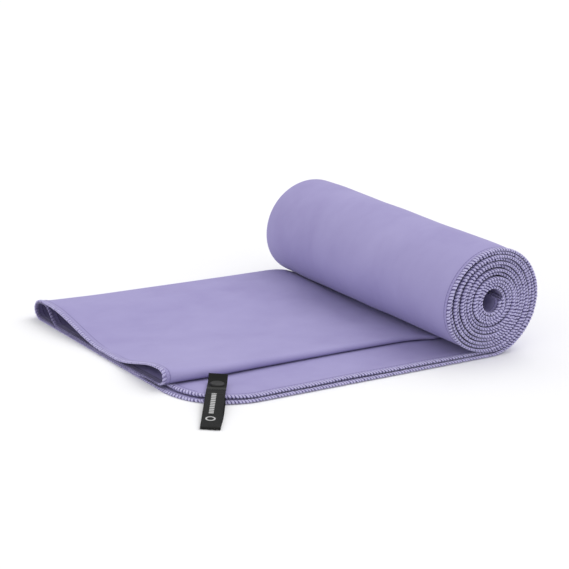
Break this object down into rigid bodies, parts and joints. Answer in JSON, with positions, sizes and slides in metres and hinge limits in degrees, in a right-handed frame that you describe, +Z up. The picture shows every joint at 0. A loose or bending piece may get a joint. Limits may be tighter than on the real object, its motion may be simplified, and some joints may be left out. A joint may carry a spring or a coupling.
{
  "type": "quick dry travel towel",
  "caption": "Microfibre travel towel folded lengthwise and rolled from one end, with a flat tail, overlocked hem and a snap-fastened ribbon hang strap.",
  "frame": {"origin": "on the resting plane, under the axis of the roll, at mid-length of the roll", "axes": "+X from the free end of the towel to the roll, +Y along the roll's axis away from the strap's side, +Z up"},
  "size_m": [0.292, 0.2528, 0.0783],
  "materials": {
    "cloth": "brushed suede microfibre",
    "hem_thread": "overlock thread",
    "strap_ribbon": "woven black ribbon",
    "strap_thread": "polyester sewing thread",
    "snap_cap_black": "gloss black",
    "snap_metal": "satin"
  },
  "bodies": {
    "roll": {"fabric_roll": "cloth", "hem_thread_roll": "hem_thread"},
    "panel_01": {"fabric_panel_01": "cloth", "hem_thread_01": "hem_thread"},
    "panel_02": {"fabric_panel_02": "cloth", "hem_thread_02": "hem_thread"},
    "panel_03": {"fabric_panel_03": "cloth", "hem_thread_03": "hem_thread"},
    "panel_04": {"fabric_panel_04": "cloth", "hem_thread_04": "hem_thread"},
    "panel_05": {"fabric_panel_05": "cloth", "hem_thread_05": "hem_thread"},
    "panel_06": {"fabric_panel_06": "cloth", "hem_thread_06": "hem_thread"},
    "panel_07": {"fabric_panel_07": "cloth", "hem_thread_07": "hem_thread"},
    "panel_08": {"fabric_panel_08": "cloth", "hem_thread_08": "hem_thread"},
    "panel_09": {"fabric_panel_09": "cloth", "hem_thread_09": "hem_thread"},
    "panel_10": {"fabric_panel_10": "cloth", "hem_thread_10": "hem_thread"},
    "panel_11": {"fabric_panel_11": "cloth", "hem_thread_11": "hem_thread"},
    "panel_12": {"fabric_panel_12": "cloth", "hem_thread_12": "hem_thread"},
    "panel_13": {"fabric_panel_13": "cloth", "hem_thread_13": "hem_thread"},
    "panel_14": {"fabric_panel_14": "cloth", "hem_thread_14": "hem_thread"},
    "panel_15": {"fabric_panel_15": "cloth", "hem_thread_15": "hem_thread", "hang_strap_base": "strap_ribbon", "strap_stitching": "strap_thread", "snap_post": "snap_metal", "snap_stud": "snap_metal"},
    "panel_16": {"fabric_panel_16": "cloth", "hem_thread_16": "hem_thread", "end_hem_thread": "hem_thread"},
    "strap_leg": {"hang_strap_flap": "strap_ribbon", "snap_socket": "snap_metal", "snap_cap": "snap_cap_black"}
  },
  "joints": [
    {"name": "roll_up", "type": "hinge", "parent": "roll", "child": "panel_01", "pos_m": [-0.0279, 0, 0.00465], "axis": [0, 1, 0], "range_deg": [0, 11.25]},
    {"name": "roll_up_02", "type": "hinge", "parent": "panel_01", "child": "panel_02", "pos_m": [-0.03642, 0, 0.00465], "axis": [0, 1, 0], "range_deg": [0, 22.5]},
    {"name": "roll_up_03", "type": "hinge", "parent": "panel_02", "child": "panel_03", "pos_m": [-0.04495, 0, 0.00465], "axis": [0, 1, 0], "range_deg": [0, 22.5]},
    {"name": "roll_up_04", "type": "hinge", "parent": "panel_03", "child": "panel_04", "pos_m": [-0.05348, 0, 0.00465], "axis": [0, 1, 0], "range_deg": [0, 21]},
    {"name": "roll_up_05", "type": "hinge", "parent": "panel_04", "child": "panel_05", "pos_m": [-0.06609, 0, 0.00465], "axis": [0, 1, 0], "range_deg": [0, 9.5]},
    {"name": "roll_up_06", "type": "hinge", "parent": "panel_05", "child": "panel_06", "pos_m": [-0.0787, 0, 0.00465], "axis": [0, 1, 0], "range_deg": [0, 14]},
    {"name": "roll_up_07", "type": "hinge", "parent": "panel_06", "child": "panel_07", "pos_m": [-0.09131, 0, 0.00465], "axis": [0, 1, 0], "range_deg": [0, 14]},
    {"name": "roll_up_08", "type": "hinge", "parent": "panel_07", "child": "panel_08", "pos_m": [-0.10392, 0, 0.00465], "axis": [0, 1, 0], "range_deg": [0, 13.9]},
    {"name": "roll_up_09", "type": "hinge", "parent": "panel_08", "child": "panel_09", "pos_m": [-0.11653, 0, 0.00465], "axis": [0, 1, 0], "range_deg": [0, 13.9]},
    {"name": "roll_up_10", "type": "hinge", "parent": "panel_09", "child": "panel_10", "pos_m": [-0.12914, 0, 0.00465], "axis": [0, 1, 0], "range_deg": [0, 13.8]},
    {"name": "roll_up_11", "type": "hinge", "parent": "panel_10", "child": "panel_11", "pos_m": [-0.14175, 0, 0.00465], "axis": [0, 1, 0], "range_deg": [0, 13.8]},
    {"name": "roll_up_12", "type": "hinge", "parent": "panel_11", "child": "panel_12", "pos_m": [-0.15437, 0, 0.00465], "axis": [0, 1, 0], "range_deg": [0, 13.7]},
    {"name": "roll_up_13", "type": "hinge", "parent": "panel_12", "child": "panel_13", "pos_m": [-0.16698, 0, 0.00465], "axis": [0, 1, 0], "range_deg": [0, 13.6]},
    {"name": "roll_up_14", "type": "hinge", "parent": "panel_13", "child": "panel_14", "pos_m": [-0.17959, 0, 0.00465], "axis": [0, 1, 0], "range_deg": [0, 13.6]},
    {"name": "roll_up_15", "type": "hinge", "parent": "panel_14", "child": "panel_15", "pos_m": [-0.1922, 0, 0.00465], "axis": [0, 1, 0], "range_deg": [0, 23.5]},
    {"name": "roll_up_16", "type": "hinge", "parent": "panel_15", "child": "panel_16", "pos_m": [-0.2232, 0, 0.00465], "axis": [0, 1, 0], "range_deg": [0, 24.5]},
    {"name": "strap_open", "type": "hinge", "parent": "panel_15", "child": "strap_leg", "pos_m": [-0.24715, -0.13594, 0.00089], "axis": [0.8081, -0.5891, 0], "range_deg": [0, 170]}
  ],
  "couplings": [
    {"joint": "roll_up_02", "follows": "roll_up", "ratio": 2},
    {"joint": "roll_up_03", "follows": "roll_up", "ratio": 2},
    {"joint": "roll_up_04", "follows": "roll_up", "ratio": 1.8667},
    {"joint": "roll_up_05", "follows": "roll_up", "ratio": 0.84444},
    {"joint": "roll_up_06", "follows": "roll_up", "ratio": 1.2444},
    {"joint": "roll_up_07", "follows": "roll_up", "ratio": 1.2444},
    {"joint": "roll_up_08", "follows": "roll_up", "ratio": 1.2356},
    {"joint": "roll_up_09", "follows": "roll_up", "ratio": 1.2356},
    {"joint": "roll_up_10", "follows": "roll_up", "ratio": 1.2267},
    {"joint": "roll_up_11", "follows": "roll_up", "ratio": 1.2267},
    {"joint": "roll_up_12", "follows": "roll_up", "ratio": 1.2178},
    {"joint": "roll_up_13", "follows": "roll_up", "ratio": 1.2089},
    {"joint": "roll_up_14", "follows": "roll_up", "ratio": 1.2089},
    {"joint": "roll_up_15", "follows": "roll_up", "ratio": 2.0889},
    {"joint": "roll_up_16", "follows": "roll_up", "ratio": 2.1778}
  ]
}
